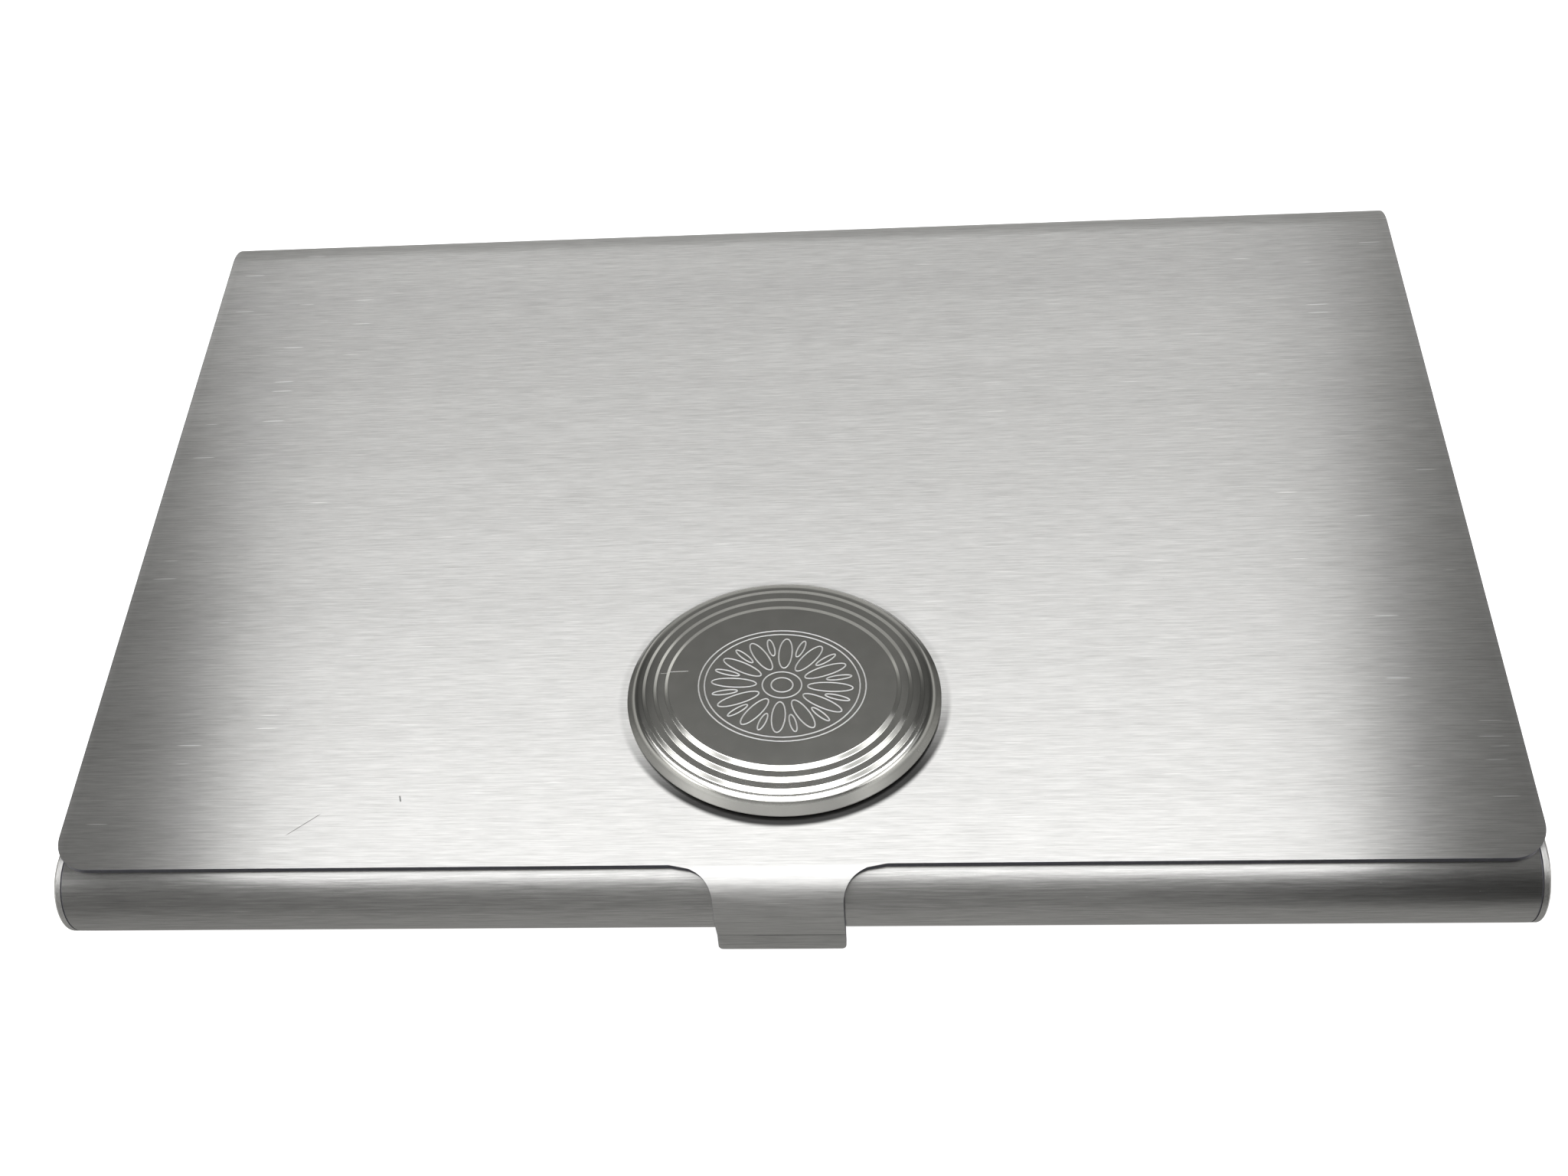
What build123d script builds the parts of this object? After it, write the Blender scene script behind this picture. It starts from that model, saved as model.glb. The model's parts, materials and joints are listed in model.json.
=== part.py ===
from build123d import *
from math import asin, cos, degrees, radians, sin, sqrt, tan
import os

# Hinged business card case folded from stainless sheet.
# Axes: +X to the right along the hinge, +Y from the thumb tab back to the hinge, +Z up from the table.
# Origin: on the underside, in the middle between the end plates and between the front roll and the spine.
# All sizes are in millimetres.

# ---------------------------------------------------------------- driving dimensions

# Whole case
case_width = 94.0  # over the outer faces of the two end plates
case_depth = 61.0  # front of the roll to the back of the spine
case_height = 7.0  # table to the top of the closed lid
sheet = 0.45  # stainless sheet that every folded piece is made of

# Fits
lid_gap = 0.15  # closed lid above the tray, and spine around the end plates
tab_gap = 0.10  # thumb tab in front of the roll
side_gap = 0.15  # each end of the inset part of the spine to its end plate
table_gap = 0.10  # spine above the table, so that the lid turns without rubbing
turning_gap = 0.05  # hinge pin in its ear, on the radius
riveted_gap = 0.01  # rivet in the piece it is closed on, on the radius
end_play = 0.05  # ear between its washer and the tail of its pin

# Lid
lid_setback = 2.2  # front edge of the lid behind the front of the roll
front_corner = 2.4  # plan radius of the front corners
back_corner = 0.8  # plan radius of the back corners
lid_edge_round = 0.14  # rounded upper edge of the sheet
open_angle = 100.0  # the lid stops here, in degrees
stop_margin = 3.0  # play left at the stop, in degrees
curl_wrap = 20.0  # how far the spine wraps past straight down, in degrees

# Thumb tab
tab_width = 8.2
tab_flare = 2.7  # each rounded shoulder where the tab leaves the lid, along X
tab_shoulder_run = 2.7  # the same shoulder, measured along the bent sheet
tab_crease_height = 2.4  # crease where the lip starts, above the table
lip_length = 1.25
lip_angle = 20.0  # lip turned out from straight down, in degrees
lip_corner = 0.3
tab_root = 0.5  # flat of the tab that runs back into the lid

# Tray
return_length = 5.3  # flat return of the roll, over the front of the cards
seam_bevel = 0.10  # broken edge of the tray where it meets an end plate

# End plates
plate_edge_round = 0.14
flange_width = 2.5  # weld flange on the floor
flange_margin = 1.5  # flange kept back from the roll and from the spine

# Hinge
pin_radius = 0.75
pin_head_radius = 1.4
pin_head_height = 0.35
pin_head_round = 0.2
pin_tail_radius = 1.15
pin_tail_height = 0.3
washer_radius = 1.9
washer_thickness = 0.2
ear_radius = 2.5
ear_length = 7.0  # ear forward of the pin, under the lid
ear_foot_width = 4.0
ear_foot_back = 1.0  # foot kept clear of the bend of the spine
ear_web_height = 0.8  # front height of the ear under the lid
ear_clearance = 0.15  # least room around the eye of an ear, inside the spine

# Card spring
spring_sheet = 0.3
spring_width = 44.0
spring_length = 36.0  # from the rivets to the free end
spring_pad = 1.8  # pad on each side of the rivets
spring_rise = 0.8  # free end above its pressed place
spring_slot_width = 5.0
spring_slot_length = 20.0
spring_corner = 3.0
spring_root_setback = 10.5  # rivets behind the front of the tray
spring_float = 0.06  # pad above the floor, so that the leaf can rock on its rivets
rivet_radius = 1.0
rivet_head_radius = 1.8
rivet_head_height = 0.35
rivet_spacing = 24.0
rivet_recess = 0.05  # closed end above the underside
rivet_gap = 0.06  # rivet in the floor, on the radius

# Medallion
medallion_long = 10.5  # half length at the foot
medallion_short = 9.0  # half width at the foot
medallion_x = 0.1
medallion_setback = 14.27  # centre behind the front of the roll
medallion_turn = -4.0  # degrees, seen from above
medallion_rim = 1.15  # height of the rim, without its steps
medallion_taper = 0.31  # rim set in at its top
medallion_shoulder = 0.66  # rounding of the rim's upper edge
medallion_undercut = 0.25  # rounding of the rim's lower edge
step_count = 3
step_rise = 0.14
step_run = 0.34  # sloping part of a step
step_land = 0.42  # flat part of a step
rim_land = 0.16  # flat left outside the lowest step
pad_thickness = 0.15
pad_inset = 0.7

# Cuts
overrun = 1.0  # how far a hole's cut runs past the piece at each end

# ---------------------------------------------------------------- derived places

half_width = case_width / 2
front_y = -case_depth / 2
back_y = case_depth / 2
plate_inner_x = half_width - sheet

lid_underside = case_height - sheet
tray_top = lid_underside - lid_gap
roll_radius = tray_top / 2
roll_y = front_y + roll_radius
roll_z = roll_radius

spine_radius = (case_height - table_gap) / 2
spine_inner = spine_radius - sheet
pivot_y = back_y - spine_radius
pivot_z = case_height - spine_radius
boss_radius = spine_inner - lid_gap
sweep_radius = spine_radius + lid_gap
floor_back = pivot_y - sqrt(sweep_radius**2 - (pivot_z - sheet) ** 2)

lid_front = front_y + lid_setback
tab_outer = lid_setback + tab_gap + sheet
tab_inner = tab_outer - sheet
tab_bend_z = case_height - tab_outer

washer_x = plate_inner_x - washer_thickness
ear_x = washer_x - sheet
pin_tail_x = ear_x - end_play

medallion_y = front_y + medallion_setback
medallion_z = case_height + pad_thickness

spring_root_y = front_y + spring_root_setback
spring_z = sheet + spring_float


# ---------------------------------------------------------------- helpers


def ring_sector(centre, inner, outer, start, end):
    """Flat band between two radii, from one angle to another, in degrees."""
    outside = CenterArc(centre, outer, start, end - start)
    inside = CenterArc(centre, inner, start, end - start)
    sides = [Line(outside @ 0, inside @ 0), Line(outside @ 1, inside @ 1)]
    return make_face([outside, inside] + sides)


def across(profile, width):
    """Profile drawn in Y and Z, pulled to a width that is centred on X."""
    return extrude(Plane.YZ * profile, amount=width / 2, both=True)


def slab(x, y, z):
    """Box from three pairs of limits."""
    size = [high - low for low, high in (x, y, z)]
    return Pos(*[(low + high) / 2 for low, high in (x, y, z)]) * Box(*size)


def rod(radius, x_low, x_high, y=pivot_y, z=pivot_z):
    """Cylinder along X, on the hinge line unless a place is given."""
    return Pos((x_low + x_high) / 2, y, z) * Rot(0, 90, 0) * Cylinder(radius, x_high - x_low)


def oval(inset):
    """Outline of the medallion, set in by a distance."""
    return Ellipse(medallion_long - inset, medallion_short - inset)


def on_lid(shape, height):
    """Shape turned and moved to the medallion's place, at a height above its back."""
    return Pos(medallion_x, medallion_y, medallion_z + height) * Rot(0, 0, medallion_turn) * shape


def mirrored(piece):
    """Left-hand copy of a right-hand piece."""
    return mirror(piece, about=Plane.YZ)


# ---------------------------------------------------------------- lid


def is_curl_rim(edge):
    """Whether an edge is the outer rim of the spine at an end of the lid."""
    return abs(edge.radius - spine_radius) < sheet / 2 and edge.center().Y > pivot_y


def thumb_tab():
    """Tab that bends down in front of the roll and ends in a flared lip."""
    front = lid_front - tab_outer
    bend = ring_sector((lid_front, tab_bend_z), tab_inner, tab_outer, 90, 180)
    drop = Polygon(
        (front, tab_bend_z),
        (front, tab_crease_height),
        (front + sheet, tab_crease_height),
        (front + sheet, tab_bend_z),
        align=None,
    )
    lean, fall = sin(radians(lip_angle)), cos(radians(lip_angle))
    inner_end = (front + sheet - lip_length * lean, tab_crease_height - lip_length * fall)
    lip = Polygon(
        (front, tab_crease_height + sheet * tan(radians(lip_angle / 2))),
        (inner_end[0] - sheet * fall, inner_end[1] + sheet * lean),
        inner_end,
        (front + sheet, tab_crease_height),
        align=None,
    )
    root = Pos(lid_front + tab_root / 2, case_height - sheet / 2) * Rectangle(tab_root, sheet)
    blank = across(root + bend + drop + lip, tab_width + 2 * tab_flare)

    shoulder = tab_outer * sin(tab_shoulder_run / tab_outer)
    reach = 2 * tab_outer
    outline = Pos(0, lid_front - reach / 2) * Rectangle(tab_width, reach)
    outline += Pos(0, lid_front + tab_root / 2) * Rectangle(tab_width + 2 * tab_flare, tab_root)
    for side in (-1, 1):
        corner = Pos(side * (tab_width + tab_flare) / 2, lid_front - shoulder / 2)
        hollow = Pos(side * (tab_width / 2 + tab_flare), lid_front - shoulder)
        outline += corner * Rectangle(tab_flare, shoulder) - hollow * Ellipse(tab_flare, shoulder)
    tab = blank & extrude(outline, case_height)
    lip_edges = tab.edges().filter_by(lambda edge: abs(edge.length - sheet) < sheet / 10)
    lip_corners = [edge for edge in lip_edges if edge.center().Z < tab_crease_height - sheet]
    return fillet(lip_corners, lip_corner)


def ear_room():
    """Room around the eyes of both ears, which relieves the lid where an eye would come too near it."""
    room = rod(ear_radius + ear_clearance, ear_x - ear_clearance, ear_x + sheet + ear_clearance)
    return room + mirrored(room)


def lid_shell():
    """Lid, spine and thumb tab, folded from one sheet."""
    pivot = (pivot_y, pivot_z)
    plate = Pos((lid_front + pivot_y) / 2, case_height - sheet / 2) * Rectangle(pivot_y - lid_front, sheet)
    upper = ring_sector(pivot, spine_inner, spine_radius, 0, 90)
    lower = ring_sector(pivot, spine_inner, spine_radius, -90 - curl_wrap, 0)
    blank = extrude(Pos(0, (lid_front + back_y) / 2) * Rectangle(case_width, back_y - lid_front), case_height)
    front_corners = blank.edges().filter_by(Axis.Z).group_by(Axis.Y)[0]
    shell = across(plate + upper, case_width) & fillet(front_corners, front_corner)
    rim = shell.faces().sort_by(Axis.Z)[-1].edges().filter_by(lambda edge: edge.center().Y < pivot_y - sheet)
    curl_rim = shell.edges().filter_by(GeomType.CIRCLE).filter_by(is_curl_rim)
    shell = fillet(rim + curl_rim, lid_edge_round)
    back_corners = blank.edges().filter_by(Axis.Z).group_by(Axis.Y)[-1]
    shell = shell & fillet(back_corners, back_corner)
    shell += across(lower, 2 * (plate_inner_x - side_gap))
    return shell + thumb_tab() - ear_room()


def lid_ear():
    """Right-hand bracket under the lid with the hole for its hinge pin."""
    eye = Pos(pivot_y, pivot_z) * Circle(ear_radius)
    web_middle = pivot_y - (ear_length + ear_foot_back) / 2
    web = Pos(web_middle, lid_underside - ear_web_height / 2) * Rectangle(
        ear_length - ear_foot_back, ear_web_height
    )
    side = make_hull(eye.edges() + web.edges())
    ear = Pos(ear_x, 0, 0) * extrude(Plane.YZ * side, amount=sheet)
    ear += slab(
        (ear_x - ear_foot_width, ear_x + sheet),
        (pivot_y - ear_length, pivot_y - ear_foot_back),
        (lid_underside - sheet, lid_underside),
    )
    return ear - rod(pin_radius + turning_gap, ear_x - overrun, ear_x + sheet + overrun)


# ---------------------------------------------------------------- tray and end plates


def base_tray():
    """Floor, front roll and return, folded from one sheet."""
    floor = Pos((roll_y + floor_back) / 2, sheet / 2) * Rectangle(floor_back - roll_y, sheet)
    roll = ring_sector((roll_y, roll_z), roll_radius - sheet, roll_radius, 90, 270)
    back = Pos(roll_y + return_length / 2, tray_top - sheet / 2) * Rectangle(return_length, sheet)
    tray = across(floor + roll + back, 2 * plate_inner_x)
    rims = tray.edges().filter_by(GeomType.CIRCLE).group_by(SortBy.RADIUS)[-1]
    tray = chamfer(rims, seam_bevel)
    for side in (-1, 1):
        tray -= Pos(side * rivet_spacing / 2, spring_root_y, sheet / 2) * Cylinder(
            rivet_radius + rivet_gap, 2 * sheet
        )
    return tray


def end_plate():
    """Right-hand end plate with its weld flange and the seat of its hinge pin."""
    wall = Pos((roll_y + pivot_y) / 2, tray_top / 2) * Rectangle(pivot_y - roll_y, tray_top)
    nose = Pos(roll_y, roll_z) * Circle(roll_radius)
    boss = Pos(pivot_y, pivot_z) * Circle(boss_radius)
    stop = open_angle + stop_margin
    swept = ring_sector((pivot_y, pivot_z), boss_radius, 2 * spine_radius, -stop, 90)
    side = wall + nose - swept + boss
    plate = Pos(plate_inner_x, 0, 0) * extrude(Plane.YZ * side, amount=sheet)
    rim = plate.faces().sort_by(Axis.X)[-1].outer_wire().edges()
    plate = fillet(rim, plate_edge_round)
    plate += slab(
        (plate_inner_x - flange_width, plate_inner_x),
        (roll_y + flange_margin, pivot_y - sweep_radius - flange_margin),
        (sheet, 2 * sheet),
    )
    return plate - rod(pin_radius + riveted_gap, plate_inner_x - overrun, half_width + overrun)


# ---------------------------------------------------------------- hinge


def hinge_pin():
    """Right-hand shouldered rivet: head outside, tail inside the ear."""
    head = rod(pin_head_radius, half_width, half_width + pin_head_height)
    head = fillet(head.faces().sort_by(Axis.X)[-1].edges(), pin_head_round)
    tail = rod(pin_tail_radius, pin_tail_x - pin_tail_height, pin_tail_x)
    return head + rod(pin_radius, pin_tail_x, half_width) + tail


def hinge_washer():
    """Right-hand washer between end plate and ear."""
    ring = rod(washer_radius, washer_x, plate_inner_x)
    return ring - rod(pin_radius + turning_gap, washer_x - overrun, plate_inner_x + overrun)


# ---------------------------------------------------------------- card spring


def spring_tilt():
    """Angle that lifts the free end of the leaf by its rise."""
    return degrees(asin(spring_rise / spring_length))


def raised(piece):
    """Piece drawn in its pressed place, turned up about the rivets to its free place."""
    return piece.rotate(Axis((0, spring_root_y, spring_z), (1, 0, 0)), spring_tilt())


def rivet_places():
    """Centres of the two rivets."""
    return [Pos(side * rivet_spacing / 2, spring_root_y, 0) for side in (-1, 1)]


def card_spring():
    """Leaf that presses the cards up against the lid."""
    front = spring_root_y - spring_pad
    back = spring_root_y + spring_length
    leaf = Pos(0, (front + back) / 2) * Rectangle(spring_width, back - front)
    leaf = fillet(leaf.vertices().group_by(Axis.Y)[-1], spring_corner)
    for side in (-1, 0, 1):
        slot = SlotOverall(spring_slot_length, spring_slot_width, rotation=90)
        leaf -= Pos(side * spring_width / 4, spring_root_y + spring_length / 2) * slot
    for place in rivet_places():
        leaf -= place * Circle(rivet_radius + riveted_gap)
    return raised(Pos(0, 0, spring_z) * extrude(leaf, spring_sheet))


def card_spring_rivets():
    """Two flat-headed rivets through the pad of the leaf and the floor."""
    pieces = []
    for place in rivet_places():
        length = spring_z + spring_sheet - rivet_recess
        shank = place * Pos(0, 0, rivet_recess + length / 2) * Cylinder(rivet_radius, length)
        head_z = spring_z + spring_sheet + rivet_head_height / 2
        head = place * Pos(0, 0, head_z) * Cylinder(rivet_head_radius, rivet_head_height)
        pieces.append(raised(shank + head))
    return Compound(children=pieces)


# ---------------------------------------------------------------- medallion


def medallion():
    """Oval plaque whose rim climbs to a flat field in fine steps."""
    body = loft([oval(0), Pos(0, 0, medallion_rim) * oval(medallion_taper)], ruled=True)
    body = fillet(body.faces().sort_by(Axis.Z)[-1].edges(), medallion_shoulder)
    body = fillet(body.faces().sort_by(Axis.Z)[0].edges(), medallion_undercut)
    inset = medallion_taper + medallion_shoulder + rim_land
    level = medallion_rim
    for _ in range(step_count):
        foot = Pos(0, 0, level) * oval(inset)
        top = Pos(0, 0, level + step_rise) * oval(inset + step_run)
        body += loft([foot, top], ruled=True)
        inset += step_run + step_land
        level += step_rise
    return on_lid(body, 0)


def medallion_pad():
    """Adhesive pad between the medallion and the lid."""
    return on_lid(extrude(oval(pad_inset), pad_thickness), -pad_thickness)


# ---------------------------------------------------------------- assembly


def build_pieces():
    """Every piece of the case by its node name."""
    pieces = {
        "lid_shell": lid_shell(),
        "base_tray": base_tray(),
        "card_spring": card_spring(),
        "card_spring_rivets": card_spring_rivets(),
        "medallion": medallion(),
        "medallion_pad": medallion_pad(),
    }
    pairs = {
        "end_plate": end_plate,
        "lid_ear": lid_ear,
        "hinge_pin": hinge_pin,
        "hinge_washer": hinge_washer,
    }
    for name, make in pairs.items():
        right = make()
        pieces[name + "_right"] = right
        pieces[name + "_left"] = mirrored(right)
    return pieces


def main():
    """Write one STEP file for each piece."""
    os.makedirs("parts", exist_ok=True)
    for name, piece in build_pieces().items():
        export_step(piece, f"parts/{name}.step")


main()
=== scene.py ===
import json
import logging
import math
from dataclasses import dataclass, field
from enum import Enum
from typing import Any, Callable, Sequence

import bmesh
import bpy
from mathutils import Matrix, Vector


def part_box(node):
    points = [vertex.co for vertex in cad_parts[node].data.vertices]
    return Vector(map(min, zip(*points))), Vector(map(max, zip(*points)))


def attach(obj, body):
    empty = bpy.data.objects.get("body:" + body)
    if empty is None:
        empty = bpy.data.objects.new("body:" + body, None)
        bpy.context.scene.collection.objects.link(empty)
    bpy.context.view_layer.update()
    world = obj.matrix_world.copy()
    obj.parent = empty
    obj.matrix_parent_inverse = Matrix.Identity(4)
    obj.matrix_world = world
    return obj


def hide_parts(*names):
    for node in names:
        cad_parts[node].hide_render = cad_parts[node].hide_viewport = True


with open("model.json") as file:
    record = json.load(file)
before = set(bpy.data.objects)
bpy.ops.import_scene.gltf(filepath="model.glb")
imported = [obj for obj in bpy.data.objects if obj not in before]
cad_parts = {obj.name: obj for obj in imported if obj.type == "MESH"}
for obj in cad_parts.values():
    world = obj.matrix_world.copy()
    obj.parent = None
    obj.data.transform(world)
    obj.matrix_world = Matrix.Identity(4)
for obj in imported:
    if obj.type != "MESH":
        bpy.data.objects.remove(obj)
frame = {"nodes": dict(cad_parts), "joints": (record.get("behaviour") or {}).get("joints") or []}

# Hinged steel card case with an oval plaque that carries a plain rosette. Pieces are modelled in
# millimetres and settled in metres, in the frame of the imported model: +X along the hinge, +Y from the
# thumb tab to the hinge, +Z up.

LOG = logging.getLogger("card_case")
MILLIMETRE = 0.001
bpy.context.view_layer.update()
TOLERANCE = 0.01

Colour = tuple[float, float, float]
Point = tuple[float, float, float]


# ---------------------------------------------------------------- shader arithmetic


class Signal:
    """One value in a material's node tree, which takes part in plain arithmetic."""

    def __init__(self, graph: "Graph", socket: bpy.types.NodeSocket) -> None:
        """Wrap an output socket of a graph."""
        self.graph = graph
        self.socket = socket

    def _math(self, operation: str, *values: Any) -> "Signal":
        """Add a Math node over some values."""
        return self.graph.node("ShaderNodeMath", {"operation": operation}, dict(enumerate(values)))

    def __add__(self, other: Any) -> "Signal":
        """Sum."""
        return self._math("ADD", self, other)

    def __radd__(self, other: Any) -> "Signal":
        """Sum with a number on the left."""
        return self._math("ADD", other, self)

    def __sub__(self, other: Any) -> "Signal":
        """Difference."""
        return self._math("SUBTRACT", self, other)

    def __rsub__(self, other: Any) -> "Signal":
        """Difference from a number on the left."""
        return self._math("SUBTRACT", other, self)

    def __mul__(self, other: Any) -> "Signal":
        """Product."""
        return self._math("MULTIPLY", self, other)

    def __rmul__(self, other: Any) -> "Signal":
        """Product with a number on the left."""
        return self._math("MULTIPLY", other, self)

    def magnitude(self) -> "Signal":
        """Value without its sign."""
        return self._math("ABSOLUTE", self)

    def most(self, other: Any) -> "Signal":
        """Larger of two values."""
        return self._math("MAXIMUM", self, other)

    def rise(self, low: float, high: float) -> "Signal":
        """Smooth step from 0 at one value to 1 at another, which may be the smaller.

        Args:
            low: Value at which the step starts.
            high: Value at which it ends.

        Returns:
            The step, from 0 to 1.
        """
        start, end, flip = (low, high, False) if low < high else (high, low, True)
        inputs = {0: self, 1: start, 2: end, 3: 1.0 if flip else 0.0, 4: 0.0 if flip else 1.0}
        return self.graph.node("ShaderNodeMapRange", {"interpolation_type": "SMOOTHSTEP"}, inputs)


class Graph:
    """Node tree of a material, or of the room around the case."""

    def __init__(self, name: str, owner: bpy.types.World | None = None) -> None:
        """Start an empty tree on a new material of that name, or on a given owner."""
        self.material = owner or bpy.data.materials.new(name)
        self.material.use_nodes = True
        self.tree = self.material.node_tree
        self.tree.nodes.clear()

    def node(
        self,
        kind: str,
        settings: dict[str, Any] | None = None,
        inputs: dict[int | str, Any] | None = None,
        output: int | str = 0,
    ) -> Signal:
        """Add one node.

        Args:
            kind: Type of the node.
            settings: Its properties, which are set first.
            inputs: Value or signal of each socket, by name or number.
            output: Which output is wanted.

        Returns:
            That output.
        """
        made = self.tree.nodes.new(kind)
        for key, value in (settings or {}).items():
            setattr(made, key, value)
        for key, value in (inputs or {}).items():
            if isinstance(value, Signal):
                self.tree.links.new(value.socket, made.inputs[key])
            else:
                made.inputs[key].default_value = value
        return Signal(self, made.outputs[output])

    def place(self) -> Signal:
        """Position on the piece in its own coordinates, in millimetres."""
        coordinates = self.node("ShaderNodeTexCoord", output="Object")
        scale = {0: coordinates, "Scale": 1.0 / MILLIMETRE}
        return self.node("ShaderNodeVectorMath", {"operation": "SCALE"}, scale)

    def turned(self, place: Signal, centre: Point, degrees: float) -> Signal:
        """Position measured from a centre along axes that are turned about Z.

        Args:
            place: Position in millimetres.
            centre: New origin in millimetres.
            degrees: Turn of the new axes.

        Returns:
            The position on the new axes.
        """
        inputs = {"Vector": place, "Location": centre, "Rotation": (0.0, 0.0, math.radians(degrees))}
        return self.node("ShaderNodeMapping", {"vector_type": "TEXTURE"}, inputs)

    def axis(self, place: Signal, name: str) -> Signal:
        """One coordinate of a position."""
        return self.node("ShaderNodeSeparateXYZ", None, {0: place}, name)

    def noise(self, place: Signal, frequency: Point, detail: float, roughness: float = 0.5) -> Signal:
        """Noise from 0 to 1 with its own frequency along each axis.

        Args:
            place: Position in millimetres.
            frequency: Features in a millimetre along X, Y and Z.
            detail: Octaves of finer noise.
            roughness: Strength of the finer octaves.

        Returns:
            The noise.
        """
        stretched = self.node("ShaderNodeVectorMath", {"operation": "MULTIPLY"}, {0: place, 1: frequency})
        inputs = {"Vector": stretched, "Scale": 1.0, "Detail": detail, "Roughness": roughness}
        return self.node("ShaderNodeTexNoise", None, inputs)

    def specks(self, place: Signal, frequency: Point, size: float, share: float) -> Signal:
        """Small separate marks, 1 inside a mark.

        Args:
            place: Position in millimetres.
            frequency: Cells in a millimetre along X, Y and Z.
            size: Radius of a mark in cells.
            share: Share of the cells that hold a mark.

        Returns:
            The marks.
        """
        stretched = self.node("ShaderNodeVectorMath", {"operation": "MULTIPLY"}, {0: place, 1: frequency})
        cells = {"Vector": stretched, "Scale": 1.0}
        mark = self.node("ShaderNodeTexVoronoi", None, cells, "Distance").rise(size, size / 2)
        colour = self.node("ShaderNodeTexVoronoi", None, cells, "Color")
        chance = self.node("ShaderNodeSeparateColor", None, {0: colour}, 0)
        return mark * chance.rise(share, share * 0.9)

    def blend(self, first: Any, second: Any, share: Any) -> Signal:
        """Mix of two colours.

        Args:
            first: Colour or signal where the share is 0.
            second: Colour or signal where the share is 1.
            share: How much of the second.

        Returns:
            The mixed colour.
        """
        first, second = (value if isinstance(value, Signal) else (*value, 1.0) for value in (first, second))
        inputs = {0: share, 6: first, 7: second}
        return self.node("ShaderNodeMix", {"data_type": "RGBA"}, inputs, 2)

    def shade(self, colour: Colour, brightness: Signal) -> Signal:
        """Colour made lighter or darker by a factor."""
        return self.node("ShaderNodeVectorMath", {"operation": "SCALE"}, {0: colour, "Scale": brightness})

    def bump(self, height: Signal, microns: float) -> Signal:
        """Surface normal of a relief.

        Args:
            height: Relief from 0 to 1.
            microns: Height that 1 stands for.

        Returns:
            The normal.
        """
        inputs = {"Strength": 1.0, "Distance": microns * MILLIMETRE / 1000, "Height": height}
        return self.node("ShaderNodeBump", None, inputs)

    def finish(self, constants: dict[str, Any], varying: dict[str, Signal]) -> bpy.types.Material:
        """Close the tree with a Principled shader.

        Args:
            constants: Values that are the same all over, set on the shader's own sockets.
            varying: Signals for the sockets that change over the surface.

        Returns:
            The finished material.
        """
        shader = self.node("ShaderNodeBsdfPrincipled", None, {**constants, **varying}, "BSDF")
        self.output("ShaderNodeOutputMaterial", shader)
        return self.material

    def output(self, kind: str, shader: Signal) -> None:
        """Connect a shader to an output node of that type."""
        output = self.tree.nodes.new(kind)
        self.tree.links.new(shader.socket, output.inputs["Surface"])


# ---------------------------------------------------------------- finishes


class Grain(Enum):
    """Direction of the brush marks on a piece."""

    ALONG_X = (0.04, 1.0, 1.0)
    ALONG_Y = (1.0, 0.04, 1.0)


@dataclass(frozen=True)
class Scratch:
    """Straight scratch on a flat face, level or facing the front, in millimetres."""

    centre: Point
    degrees: float
    length: float
    width: float
    depth: float
    on_front: bool = False

    def mark(self, graph: Graph, place: Signal) -> Signal:
        """Mask of the scratch, up to its depth."""
        local = graph.turned(place, self.centre, self.degrees)
        side, normal = ("Z", "Y") if self.on_front else ("Y", "Z")
        across = graph.axis(local, side).magnitude().rise(self.width, self.width / 3)
        along = graph.axis(local, "X").magnitude().rise(self.length / 2, self.length / 2.6)
        level = graph.axis(local, normal).magnitude().rise(0.2, 0.1)
        return across * along * level * self.depth


@dataclass(frozen=True)
class PaintedFootShadow:
    """Painted contact shadow: a thin dark line on the sheet's colour around the foot of an oval piece, in
    millimetres.
    """

    centre: Point
    degrees: float
    half_sizes: tuple[float, float]
    width: float = 0.6
    depth: float = 0.93

    def mark(self, graph: Graph, place: Signal) -> Signal:
        """Mask of the painted shadow, heavier on the near right."""
        local = graph.turned(place, self.centre, self.degrees)
        half_long, half_short = self.half_sizes
        scale = {0: local, 1: (1.0 / half_long, 1.0 / half_short, 0.0)}
        oval = graph.node("ShaderNodeVectorMath", {"operation": "MULTIPLY"}, scale)
        reach = graph.node("ShaderNodeVectorMath", {"operation": "LENGTH"}, {0: oval}, "Value")
        near = graph.axis(oval, "X") * 0.25 - graph.axis(oval, "Y")
        share = self.width / half_short
        heavy = 0.15 + near.rise(0.0, 0.8) * 0.85
        level = graph.axis(local, "Z").magnitude().rise(0.2, 0.1)
        return reach.rise(1.0 + share, 1.0 + share * 0.45) * heavy * level * self.depth


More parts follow.
